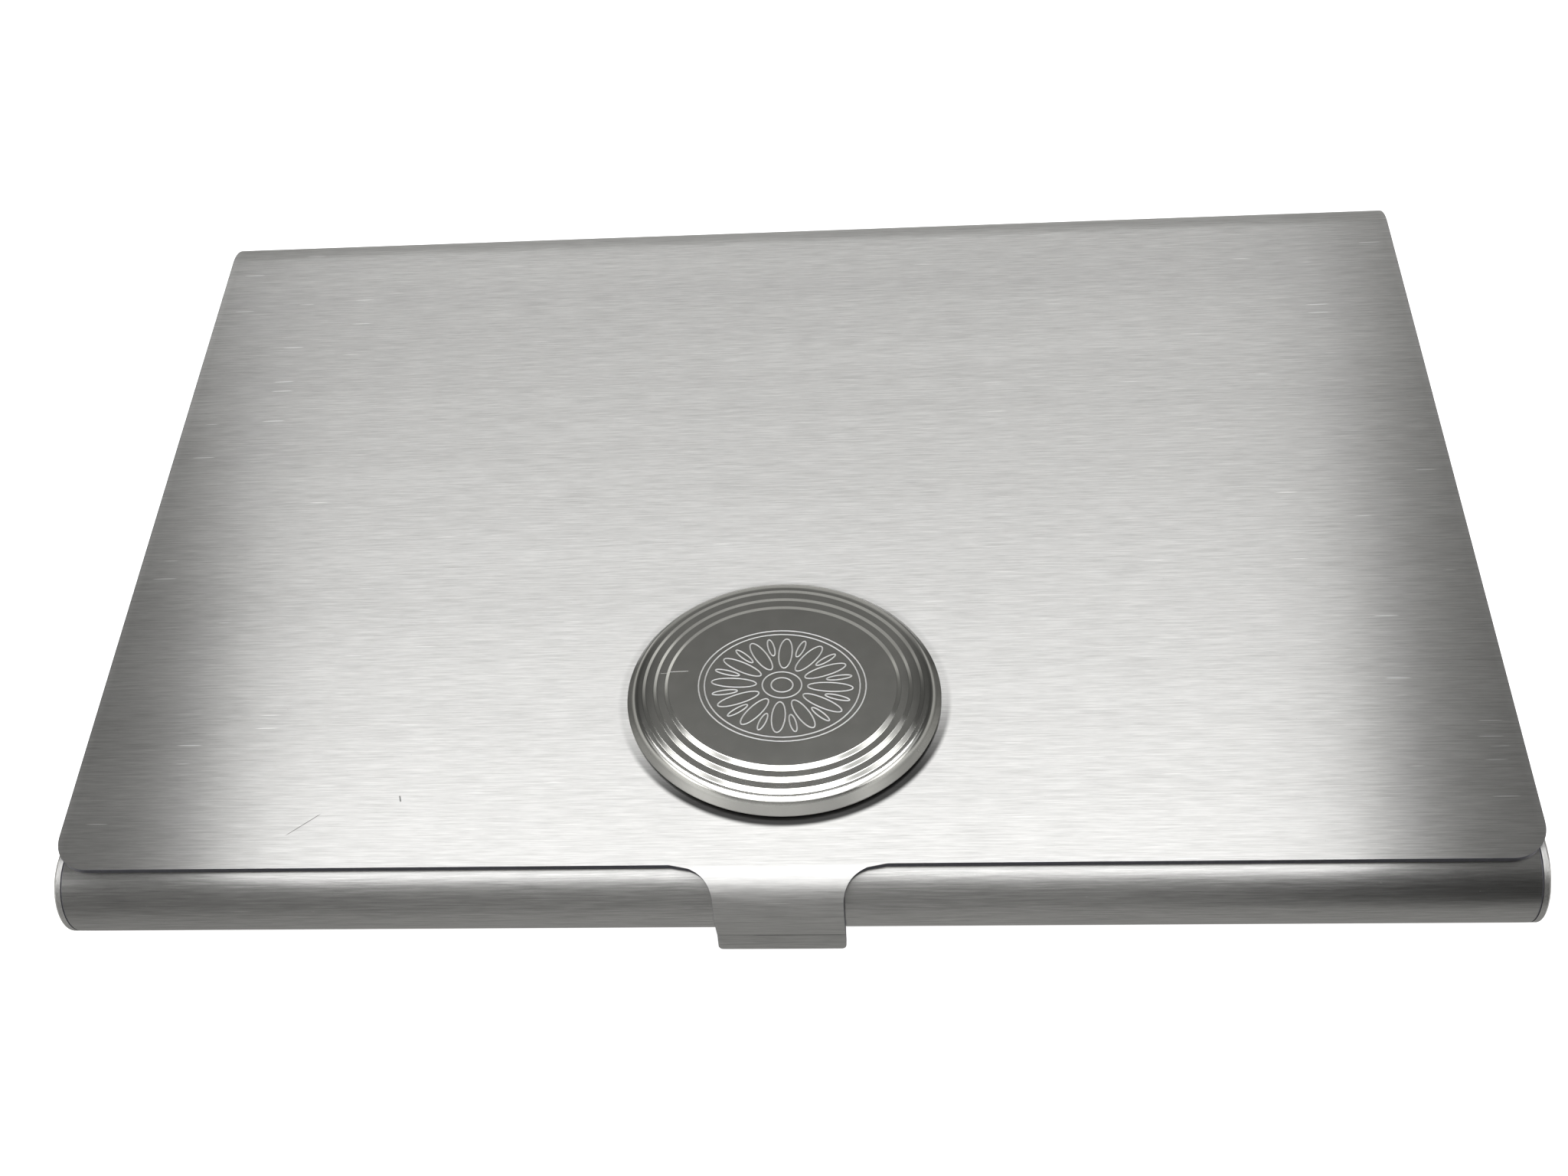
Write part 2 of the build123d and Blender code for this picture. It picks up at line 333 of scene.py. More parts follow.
@dataclass(frozen=True)
class BrushedSteel:
    """Satin stainless sheet with straight brush marks, cloudy streaks, specks and worn rims, and where
    given a painted contact shadow around a foot.
    """

    name: str
    grain: Grain = Grain.ALONG_X
    colour: Colour = (0.618, 0.615, 0.606)
    roughness: float = 0.38
    anisotropy: float = 0.0
    rotation: float = 0.0
    rim: tuple[float, float] | None = None
    scratches: tuple[Scratch, ...] = ()
    foot_shadow: PaintedFootShadow | None = None
    end_band: float = 16.0
    end_specks: float = 1.8

    def frequency(self, across: float) -> Point:
        """Noise frequency with so many marks in a millimetre across the grain."""
        x, y, z = self.grain.value
        return (x * across, y * across, z * across)

    def material(self) -> bpy.types.Material:
        """Build the finish."""
        graph = Graph(self.name)
        place = graph.place()
        lines = graph.noise(place, self.frequency(9.0), 3.0, 0.7)
        streaks = graph.noise(place, self.frequency(2.6), 2.0, 0.6)
        clouds = graph.noise(place, self.frequency(0.30), 2.0, 0.55)
        bright = graph.specks(place, self.frequency(5.0), 0.2, 0.08)
        pits = graph.specks(place, (2.2, 2.2, 2.2), 0.06, 0.10)
        marks = pits * 0.35
        for scratch in self.scratches:
            marks = marks.most(scratch.mark(graph, place))
        level = 0.46 + lines * 0.82 + streaks * 0.14 + clouds * 0.10
        level = level + bright * 0.25 - marks * 0.75
        if self.rim:
            half_width, wear = self.rim
            ends = graph.axis(place, "X").magnitude()
            edge = ends.rise(half_width - wear, half_width)
            band = ends.rise(half_width - self.end_band, half_width)
            level = level + edge * streaks * 0.25 + band * bright * self.end_specks
        # Painted shadow: darken the colour around the plaque's foot.
        if self.foot_shadow:
            level = level * (1.0 - self.foot_shadow.mark(graph, place))
        rough = self.roughness - 0.035 + lines * 0.04 + clouds * 0.03 + marks * 0.2
        relief = graph.bump(lines - marks * 2.5, 0.8)
        constants = {
            "Metallic": 1.0,
            "Anisotropic": self.anisotropy,
            "Anisotropic Rotation": self.rotation,
        }
        varying = {"Base Color": graph.shade(self.colour, level), "Roughness": rough, "Normal": relief}
        return graph.finish(constants, varying)


@dataclass(frozen=True)
class ShadedEdgeSteel:
    """Cut and rounded edges of the sheet, burnished in fine upright lines; their dark colour with a blue
    cast is painted shade in the seams and gaps and a painted reflection of the dark room in front.
    """

    name: str
    # Dark blue-grey: painted shade and painted reflection.
    colour: Colour = (0.17, 0.17, 0.20)
    roughness: float = 0.40

    def material(self) -> bpy.types.Material:
        """Build the finish."""
        graph = Graph(self.name)
        place = graph.place()
        burnish = graph.noise(place, (9.0, 9.0, 1.0), 2.0, 0.6)
        torn = graph.noise(place, (1.1, 1.1, 6.0), 3.0, 0.6)
        varying = {
            "Base Color": graph.shade(self.colour, 0.55 + burnish * 0.6 + torn * 0.3),
            "Roughness": self.roughness + burnish * 0.15,
            "Normal": graph.bump(burnish + torn, 5.0),
        }
        return graph.finish({"Metallic": 1.0}, varying)


@dataclass(frozen=True)
class PolishedSteel:
    """Bright polished steel with faint hairlines, satin on the near wall, and painted shade that darkens
    both ends.

    Each pair is where a step starts and ends, in millimetres: down the wall, towards the front, out to
    the ends of the upper side and out to the ends of the wall.
    """

    name: str
    colour: Colour = (0.80, 0.797, 0.76)
    roughness: float = 0.10
    wall: tuple[float, float] = (8.24, 8.0)
    near: tuple[float, float] = (-18.5, -22.0)
    wall_satin: float = 0.45
    ends: tuple[float, float] = (7.4, 9.8)
    wall_ends: tuple[float, float] = (5.0, 8.5)
    end_shade_strength: float = 0.5
    scratches: tuple[Scratch, ...] = ()

    def material(self) -> bpy.types.Material:
        """Build the finish."""
        graph = Graph(self.name)
        place = graph.place()
        haze = graph.noise(place, (0.9, 0.9, 0.9), 3.0, 0.6)
        grit = graph.noise(place, (14.0, 14.0, 14.0), 2.0, 0.6)
        hairlines = graph.noise(graph.turned(place, (0.0, 0.0, 0.0), 35.0), (0.4, 16.0, 0.4), 2.0, 0.7)
        marks = hairlines.rise(0.70, 0.80) * 0.15
        for scratch in self.scratches:
            marks = marks.most(scratch.mark(graph, place))
        side = graph.axis(place, "X").magnitude()
        wall = graph.axis(place, "Z").rise(*self.wall)
        # Painted shade: darker colour towards both ends of the upper side and of the wall.
        end_shade = side.rise(*self.ends).most(wall * side.rise(*self.wall_ends)) * self.end_shade_strength
        level = (0.90 + haze * 0.10 + grit * 0.08 + marks * 0.5) * (1.0 - end_shade)
        satin = wall * graph.axis(place, "Y").rise(*self.near) * self.wall_satin
        rough = self.roughness + haze * 0.04 + grit * 0.04 + marks * 0.35 + satin * 0.4
        varying = {
            "Base Color": graph.shade(self.colour, level),
            "Roughness": rough,
            "Metallic": 1.0 - satin,
            "Normal": graph.bump(grit * 0.3 - marks * 0.6, 0.4),
        }
        return graph.finish({}, varying)


@dataclass(frozen=True)
class EtchedSteel:
    """Bright frosted steel of the fine lines on the plaque."""

    name: str
    colour: Colour = (0.80, 0.80, 0.80)
    roughness: float = 0.42

    def material(self) -> bpy.types.Material:
        """Build the finish."""
        graph = Graph(self.name)
        place = graph.place()
        frost = graph.noise(place, (20.0, 20.0, 20.0), 2.0, 0.7)
        wear = graph.noise(place, (1.2, 1.2, 1.2), 2.0)
        varying = {
            "Base Color": graph.shade(self.colour, 0.72 + frost * 0.3 + wear * 0.2),
            "Roughness": self.roughness - 0.08 + frost * 0.2,
            "Normal": graph.bump(frost, 6.0),
        }
        return graph.finish({"Metallic": 1.0}, varying)


@dataclass(frozen=True)
class PinSteel:
    """Turned and riveted steel with fine rings and small dents."""

    name: str
    colour: Colour = (0.58, 0.575, 0.56)
    roughness: float = 0.28

    def material(self) -> bpy.types.Material:
        """Build the finish."""
        graph = Graph(self.name)
        place = graph.place()
        dents = graph.noise(place, (1.6, 1.6, 1.6), 2.0)
        grit = graph.noise(place, (11.0, 11.0, 11.0), 2.0, 0.7)
        scuffs = graph.specks(place, (3.0, 3.0, 3.0), 0.12, 0.2)
        varying = {
            "Base Color": graph.shade(self.colour, 0.80 + grit * 0.25 + dents * 0.1 - scuffs * 0.25),
            "Roughness": self.roughness + grit * 0.10 + scuffs * 0.2,
            "Normal": graph.bump(grit * 0.5 + dents, 5.0),
        }
        return graph.finish({"Metallic": 1.0}, varying)


@dataclass(frozen=True)
class SpringSteel:
    """Rolled spring strip, darker than the sheet, with a faint straw and blue temper."""

    name: str
    colour: Colour = (0.46, 0.455, 0.44)
    straw: Colour = (0.50, 0.44, 0.34)
    roughness: float = 0.30

    def material(self) -> bpy.types.Material:
        """Build the finish."""
        graph = Graph(self.name)
        place = graph.place()
        rolling = graph.noise(place, (7.0, 0.12, 7.0), 3.0, 0.6)
        temper = graph.noise(place, (0.10, 0.16, 0.10), 2.0)
        rubbed = graph.noise(place, (0.5, 3.0, 0.5), 2.0).rise(0.62, 0.75)
        tinted = graph.blend(self.colour, self.straw, temper.rise(0.45, 0.75) * 0.6)
        level = {0: tinted, "Scale": 0.78 + rolling * 0.35 + rubbed * 0.12}
        varying = {
            "Base Color": graph.node("ShaderNodeVectorMath", {"operation": "SCALE"}, level),
            "Roughness": self.roughness + rolling * 0.10 - rubbed * 0.08,
            "Normal": graph.bump(rolling, 1.5),
        }
        return graph.finish({"Metallic": 1.0}, varying)


@dataclass(frozen=True)
class NaturalNylon:
    """Milky plastic of the hinge washers."""

    name: str
    colour: Colour = (0.80, 0.79, 0.74)
    grime: Colour = (0.45, 0.43, 0.39)

    def material(self) -> bpy.types.Material:
        """Build the finish."""
        graph = Graph(self.name)
        place = graph.place()
        mottle = graph.noise(place, (1.1, 1.1, 1.1), 3.0)
        grain = graph.noise(place, (12.0, 12.0, 12.0), 2.0)
        varying = {
            "Base Color": graph.blend(self.colour, self.grime, mottle.rise(0.45, 0.8) * 0.5),
            "Roughness": 0.42 + grain * 0.15,
            "Normal": graph.bump(grain, 6.0),
        }
        constants = {"Metallic": 0.0, "Subsurface Weight": 0.15, "Subsurface Scale": 0.0005}
        return graph.finish(constants, varying)


@dataclass(frozen=True)
class DarkFoamAndGapShade:
    """Closed-cell foam of the adhesive pad; its near-black colour is partly the foam's own and partly
    painted shade, so the gap under the plaque reads dark.
    """

    name: str
    colour: Colour = (0.035, 0.034, 0.033)
    dust: Colour = (0.12, 0.115, 0.11)

    def material(self) -> bpy.types.Material:
        """Build the finish."""
        graph = Graph(self.name)
        place = graph.place()
        cells = graph.node(
            "ShaderNodeTexVoronoi", {"feature": "F1"}, {"Vector": place, "Scale": 12.0}, "Distance"
        )
        lint = graph.noise(place, (2.5, 2.5, 2.5), 3.0)
        varying = {
            "Base Color": graph.blend(self.colour, self.dust, lint.rise(0.55, 0.8) * 0.6),
            "Roughness": 0.80 + cells * 0.15,
            "Normal": graph.bump(cells, 30.0),
        }
        return graph.finish({"Metallic": 0.0}, varying)


# ---------------------------------------------------------------- modelling helpers


class Pick(Enum):
    """What a selection takes."""

    POINTS = "VERT"
    EDGES = "EDGE"
    FACES = "FACE"


class Workpiece:
    """Mesh that is modelled in millimetres with edit-mode operators and then settled in metres."""

    def __init__(self, name: str) -> None:
        """Take the primitive that was just added as the start of a piece, and open it for editing."""
        self.thing = bpy.context.object
        self.thing.name = name
        self.thing.data.name = name
        bpy.ops.object.transform_apply(location=True, rotation=True, scale=True)
        bpy.ops.object.mode_set(mode="EDIT")

    def pick(self, kind: Pick, test: Callable[[Vector], bool]) -> None:
        """Select each point, edge or face whose points all pass a test.

        Args:
            kind: What is selected.
            test: Whether a place belongs to the selection.
        """
        bpy.ops.mesh.select_mode(type=kind.value)
        bpy.ops.mesh.select_all(action="DESELECT")
        mesh = bmesh.from_edit_mesh(self.thing.data)
        parts = {Pick.POINTS: mesh.verts, Pick.EDGES: mesh.edges, Pick.FACES: mesh.faces}[kind]
        for part in parts:
            points = [part] if kind is Pick.POINTS else part.verts
            if all(test(point.co) for point in points):
                part.select_set(True)
        bmesh.update_edit_mesh(self.thing.data)

    def cut(self, place: Point, normal: Point) -> None:
        """Divide every face along a plane."""
        bpy.ops.mesh.select_all(action="SELECT")
        bpy.ops.mesh.bisect(plane_co=place, plane_no=normal, threshold=0.001)

    def spin(self, centre: Point, degrees: float, steps: int) -> None:
        """Sweep the selected edges about an axis along X.

        Args:
            centre: Place on the axis.
            degrees: Angle, positive from +Y towards +Z. The operator itself counts the other way.
            steps: Number of rows.
        """
        bpy.ops.mesh.spin(steps=steps, angle=math.radians(degrees), center=centre, axis=(-1.0, 0.0, 0.0))

    def pull(self, offset: Point) -> None:
        """Extrude the selection by an offset."""
        bpy.ops.mesh.extrude_region_move(TRANSFORM_OT_translate={"value": offset})

    def widen(self, factor: float) -> None:
        """Scale the selection along X about the middle of the case."""
        bpy.ops.transform.resize(value=(factor, 1.0, 1.0), center_override=(0.0, 0.0, 0.0))

    def round_corners(self, radius: float, segments: int) -> None:
        """Round the selected corner points in the plane of their face."""
        bpy.ops.mesh.bevel(offset=radius, segments=segments, affect="VERTICES", profile=0.5)

    def face_up(self) -> None:
        """Turn every face the same way, with the highest level face looking up."""
        bpy.ops.mesh.select_all(action="SELECT")
        bpy.ops.mesh.normals_make_consistent(inside=False)
        mesh = bmesh.from_edit_mesh(self.thing.data)
        level = max(mesh.faces, key=lambda face: face.calc_area())
        if level.normal.z * level.calc_center_median().z < 0:
            bpy.ops.mesh.flip_normals()

    def close(self) -> None:
        """Leave edit mode."""
        bpy.ops.object.mode_set(mode="OBJECT")

    def modify(self, kind: str, **settings: Any) -> None:
        """Add a modifier with its settings and apply it."""
        modifier = self.thing.modifiers.new(kind.title(), kind)
        for key, value in settings.items():
            setattr(modifier, key, value)
        bpy.ops.object.modifier_apply(modifier=modifier.name)

    def thicken(self, sheet: float, edge: float, segments: int) -> None:
        """Give a folded surface the thickness of its sheet, with rounded edges in the second finish.

        Args:
            sheet: Thickness, which grows inwards.
            edge: Width of the rounding.
            segments: Faces across the rounding.
        """
        self.modify("SOLIDIFY", thickness=sheet, offset=-1.0, use_even_offset=True, material_offset_rim=1)
        rounding = {"width": edge, "segments": segments, "angle_limit": math.radians(50.0)}
        self.modify("BEVEL", limit_method="ANGLE", material=1, **rounding)

    def smooth(self, degrees: float) -> None:
        """Shade smoothly across every edge that is flatter than an angle."""
        bpy.ops.object.shade_smooth_by_angle(angle=math.radians(degrees))
        self.modify("WEIGHTED_NORMAL", keep_sharp=True)

    def dress(self, *finishes: bpy.types.Material) -> None:
        """Give the piece its finishes, the main one first."""
        for finish in finishes:
            self.thing.data.materials.append(finish)

    def settle(self, body: str, slot: str) -> bpy.types.Object:
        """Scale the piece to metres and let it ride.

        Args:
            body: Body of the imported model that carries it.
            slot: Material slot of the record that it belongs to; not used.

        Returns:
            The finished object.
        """
        self.thing.scale = (MILLIMETRE, MILLIMETRE, MILLIMETRE)
        bpy.ops.object.transform_apply(location=True, rotation=True, scale=True)
        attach(self.thing, body)
        faces = len(self.thing.data.polygons)
        LOG.info("%s rides on %s with %d faces", self.thing.name, body, faces)
        return self.thing


def deselect() -> None:
    """Leave nothing selected, so that an operator acts on new things alone."""
    bpy.ops.object.select_all(action="DESELECT")


def plate(name: str, x: tuple[float, float], y: tuple[float, float], z: float) -> Workpiece:
    """Start a piece from a level plane.

    Args:
        name: Name of the piece.
        x: Limits along X, in millimetres.
        y: Limits along Y.
        z: Level.

    Returns:
        The piece, open for editing.
    """
    deselect()
    bpy.ops.mesh.primitive_plane_add(size=1.0, location=(sum(x) / 2, sum(y) / 2, z))
    bpy.context.object.scale = (x[1] - x[0], y[1] - y[0], 1.0)
    return Workpiece(name)


def grain_along_x(piece: bpy.types.Object) -> None:
    """Give a piece a texture space whose tangent runs along X, for its brush marks."""
    far = 1000.0
    piece.data.use_auto_texspace = False
    piece.data.texspace_location = (0.0, -1.0, 0.0)
    piece.data.texspace_size = (far, 1.0, 1.0)


def meets(first: float, second: float) -> bool:
    """Whether two measures in millimetres are the same within the tolerance."""
    return abs(first - second) < TOLERANCE


def millimetres(corner: Vector) -> Vector:
    """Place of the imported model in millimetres."""
    return corner / MILLIMETRE


def joint_place(name: str) -> Vector:
    """Place on the axis of a joint, in millimetres."""
    return millimetres(Vector(next(joint["pos_m"] for joint in frame["joints"] if joint["name"] == name)))


# ---------------------------------------------------------------- lid


@dataclass
class LidSheet:
    """Lid, spine and thumb tab, folded from one sheet; sizes in millimetres."""

    sheet: float = 0.45
    setback: float = 2.2
    front_corner: float = 2.4
    back_corner: float = 0.8
    edge_round: float = 0.13
    curl_inset: float = 0.6
    curl_wrap: float = 20.0
    curl_rest: float = 0.03
    corner_gap: float = 0.1
    tab_gap: float = 0.10
    tab_width: float = 8.2
    tab_flare: float = 2.7
    shoulder_run: float = 2.7
    crease_height: float = 2.4
    crease_width: float = 0.07
    crease_depth: float = 0.04
    lip_length: float = 1.25
    lip_angle: float = 20.0
    lip_corner: float = 0.3
    bend_steps: int = 18
    curl_steps: int = 14
    smooth_angle: float = 38.0

    def __post_init__(self) -> None:
        """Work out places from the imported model."""
        high = millimetres(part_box("lid_shell")[1])
        plate_low = millimetres(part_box("end_plate_right")[0])
        self.half_width = high.x
        self.top = high.z
        self.pivot = joint_place("lid_hinge")
        self.front = plate_low.y + self.setback
        self.bend_radius = self.setback + self.tab_gap + self.sheet

    def shoulder_width(self, reach: float) -> float:
        """Half width of the tab at a distance in front of the lid.

        Args:
            reach: Distance in front of the lid's edge, seen from above.

        Returns:
            Half of the width there.
        """
        shoulder = self.bend_radius * math.sin(self.shoulder_run / self.bend_radius)
        rest = max(0.0, 1.0 - reach / shoulder)
        return self.tab_width / 2 + self.tab_flare * (1.0 - math.sqrt(1.0 - rest * rest))

    def add_spine(self, piece: Workpiece) -> None:
        """Curl the back of the sheet around the hinge line."""
        centre = (0.0, self.pivot.y, self.pivot.z)
        radius = self.top - self.pivot.z
        back = self.pivot.y + radius
        piece.pick(Pick.EDGES, lambda p: meets(p.y, self.pivot.y))
        piece.spin(centre, -90.0, self.curl_steps)
        inner = self.half_width - self.curl_inset
        piece.pick(Pick.EDGES, lambda p: meets(p.y, back) and abs(p.x) < inner + TOLERANCE)
        piece.spin(centre, -90.0 - self.curl_wrap, self.curl_steps + 3)
        for row in range(1, self.curl_steps + 1):
            angle = math.radians(90.0 * row / self.curl_steps)
            y, z = self.pivot.y + radius * math.sin(angle), self.pivot.z + radius * math.cos(angle)
            into = min(self.back_corner, max(0.0, y - (back - self.back_corner)))
            rounding = self.back_corner - math.sqrt(self.back_corner**2 - into**2)
            trim = min(rounding, self.curl_inset - self.curl_rest)
            if trim > 0.0:
                piece.pick(
                    Pick.POINTS,
                    lambda p: meets(p.y, y) and meets(p.z, z) and abs(p.x) > inner + self.corner_gap,
                )
                piece.widen(1.0 - trim / self.half_width)

    def add_tab(self, piece: Workpiece) -> None:
        """Bend the thumb tab down in front of the roll and end it in a flared lip."""
        radius = self.bend_radius
        root = self.tab_width / 2 + self.tab_flare
        centre = (0.0, self.front, self.top - radius)
        piece.pick(Pick.EDGES, lambda p: meets(p.y, self.front) and abs(p.x) < root + TOLERANCE)
        piece.spin(centre, 90.0, self.bend_steps)
        for row in range(1, self.bend_steps + 1):
            angle = math.radians(90.0 * row / self.bend_steps)
            y, z = self.front - radius * math.sin(angle), centre[2] + radius * math.cos(angle)
            piece.pick(Pick.POINTS, lambda p: meets(p.y, y) and meets(p.z, z))
            piece.widen(self.shoulder_width(self.front - y) / root)
        face = self.front - radius
        lean, fall = math.sin(math.radians(self.lip_angle)), math.cos(math.radians(self.lip_angle))
        crease = self.crease_height + self.sheet * math.tan(math.radians(self.lip_angle / 2))
        wide, deep = self.crease_width, self.crease_depth
        run = self.lip_length - wide
        drops = [
            (0.0, crease + wide - centre[2]),
            (deep, -wide),
            (-deep - wide * lean, -wide * fall),
            (-run * lean, -run * fall),
        ]
        piece.pick(Pick.EDGES, lambda p: meets(p.y, face))
        for y, z in drops:
            piece.pull((0.0, y, z))
        points = bmesh.from_edit_mesh(piece.thing.data).verts
        lowest = min(point.co.z for point in points if point.co.y < face)
        piece.pick(Pick.POINTS, lambda p: p.y < face and p.z < lowest + TOLERANCE)
        piece.round_corners(self.lip_corner, 5)

    def build(self, finish: bpy.types.Material, shaded_edge: bpy.types.Material) -> bpy.types.Object:
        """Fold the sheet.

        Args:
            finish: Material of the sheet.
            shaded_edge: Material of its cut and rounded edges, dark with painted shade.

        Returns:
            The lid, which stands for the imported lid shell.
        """
        piece = plate(
            "lid_sheet", (-self.half_width, self.half_width), (self.front, self.pivot.y), self.top
        )
        piece.pick(Pick.POINTS, lambda p: p.y < self.front + TOLERANCE)
        piece.round_corners(self.front_corner, 12)
        root = self.tab_width / 2 + self.tab_flare
        inner = self.half_width - self.curl_inset
        for x in (-inner, -root, root, inner):
            piece.cut((x, 0.0, 0.0), (1.0, 0.0, 0.0))
        self.add_spine(piece)
        self.add_tab(piece)
        piece.face_up()
        piece.close()
        piece.dress(finish, shaded_edge)
        piece.thicken(self.sheet, self.edge_round, 3)
        piece.smooth(self.smooth_angle)
        lid = piece.settle("lid", "satin_steel")
        grain_along_x(lid)
        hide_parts("lid_shell")
        return lid


# ---------------------------------------------------------------- tray


@dataclass
class TraySheet:
    """Floor, front roll and return, folded from one sheet; sizes in millimetres."""

    sheet: float = 0.45
    return_length: float = 5.3
    seam_bevel: float = 0.10
    rivet_radius: float = 1.06
    rivet_spacing: float = 24.0
    roll_steps: int = 36
    smooth_angle: float = 38.0

    def __post_init__(self) -> None:
        """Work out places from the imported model."""
        high = millimetres(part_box("base_tray")[1])
        plate_low = millimetres(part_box("end_plate_right")[0])
        self.half_width = high.x
        self.radius = high.z / 2
        self.roll_y = plate_low.y + self.radius
        self.back = high.y
        self.rivet_y = joint_place("card_spring_flex").y

    def drill(self, piece: Workpiece) -> None:
        """Drill the floor for the two rivets of the card spring."""
        for side in (-1, 1):
            deselect()
            place = (side * self.rivet_spacing / 2, self.rivet_y, self.sheet / 2)
            bpy.ops.mesh.primitive_cylinder_add(
                vertices=48, radius=self.rivet_radius, depth=3 * self.sheet, location=place
            )
            drill = bpy.context.object
            bpy.context.view_layer.objects.active = piece.thing
            piece.modify("BOOLEAN", operation="DIFFERENCE", object=drill, solver="EXACT")
            bpy.data.objects.remove(drill)
        deselect()
        piece.thing.select_set(True)

    def build(self, finish: bpy.types.Material, shaded_edge: bpy.types.Material) -> bpy.types.Object:
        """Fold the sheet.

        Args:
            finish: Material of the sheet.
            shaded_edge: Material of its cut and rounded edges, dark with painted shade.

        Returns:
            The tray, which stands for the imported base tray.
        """
        piece = plate("tray_sheet", (-self.half_width, self.half_width), (self.roll_y, self.back), 0.0)
        piece.pick(Pick.EDGES, lambda p: meets(p.y, self.roll_y))
        piece.spin((0.0, self.roll_y, self.radius), -180.0, self.roll_steps)
        piece.pick(Pick.EDGES, lambda p: meets(p.z, 2 * self.radius))
        piece.pull((0.0, self.return_length, 0.0))
        bpy.ops.mesh.select_all(action="SELECT")
        bpy.ops.mesh.normals_make_consistent(inside=False)
        mesh = bmesh.from_edit_mesh(piece.thing.data)
        if max(mesh.faces, key=lambda face: face.calc_area()).normal.z > 0:
            bpy.ops.mesh.flip_normals()
        piece.close()
        piece.dress(finish, shaded_edge)
        piece.thicken(self.sheet, self.seam_bevel, 2)
        self.drill(piece)
        piece.smooth(self.smooth_angle)
        tray = piece.settle("base", "satin_steel")
        grain_along_x(tray)
        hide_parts("base_tray")
        return tray


@dataclass
class WeldMarks:
    """Spot welds that hold the flanges of the end plates to the floor; sizes in millimetres."""

    count: int = 5
    radius: float = 0.75
    rim: float = 0.09
    flange_level: float = 0.9
    flange_middle: float = 1.25
    front_margin: float = 7.0
    back_margin: float = 10.0
    flatten: float = 0.35

    def one(self, x: float, y: float) -> None:
        """Add one weld, a ring that is flattened later."""
        deselect()
        bpy.ops.mesh.primitive_torus_add(
            major_radius=self.radius,
            minor_radius=self.rim,
            major_segments=28,
            minor_segments=8,
            location=(x, y, self.flange_level),
        )
        bpy.ops.object.transform_apply(location=True, rotation=True, scale=True)

    def build(self, finish: bpy.types.Material) -> list[bpy.types.Object]:
        """Place the welds along both flanges.

        Args:
            finish: Material of the welds.

        Returns:
            One piece for each side.
        """
        made = []
        for side, name in ((-1, "left"), (1, "right")):
            low, high = (millimetres(corner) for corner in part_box(f"end_plate_{name}"))
            inner = (low.x if side > 0 else high.x) + side * self.flange_middle
            start, end = low.y + self.front_margin, high.y - self.back_margin
            rings = []
            for index in range(self.count):
                self.one(inner, start + (end - start) * index / (self.count - 1))
                rings.append(bpy.context.object)
            deselect()
            for ring in rings:
                ring.select_set(True)
            bpy.context.view_layer.objects.active = rings[0]
            bpy.ops.object.join()
            piece = Workpiece(f"weld_marks_{name}")
            piece.pick(Pick.POINTS, lambda p: True)
            level = (0.0, 0.0, self.flange_level)
            bpy.ops.transform.resize(value=(1.0, 1.0, self.flatten), center_override=level)
            piece.close()
            bpy.ops.object.shade_smooth()
            piece.thing.data.materials.clear()
            piece.dress(finish)
            made.append(piece.settle("base", "satin_steel"))
        return made


# ---------------------------------------------------------------- plaque


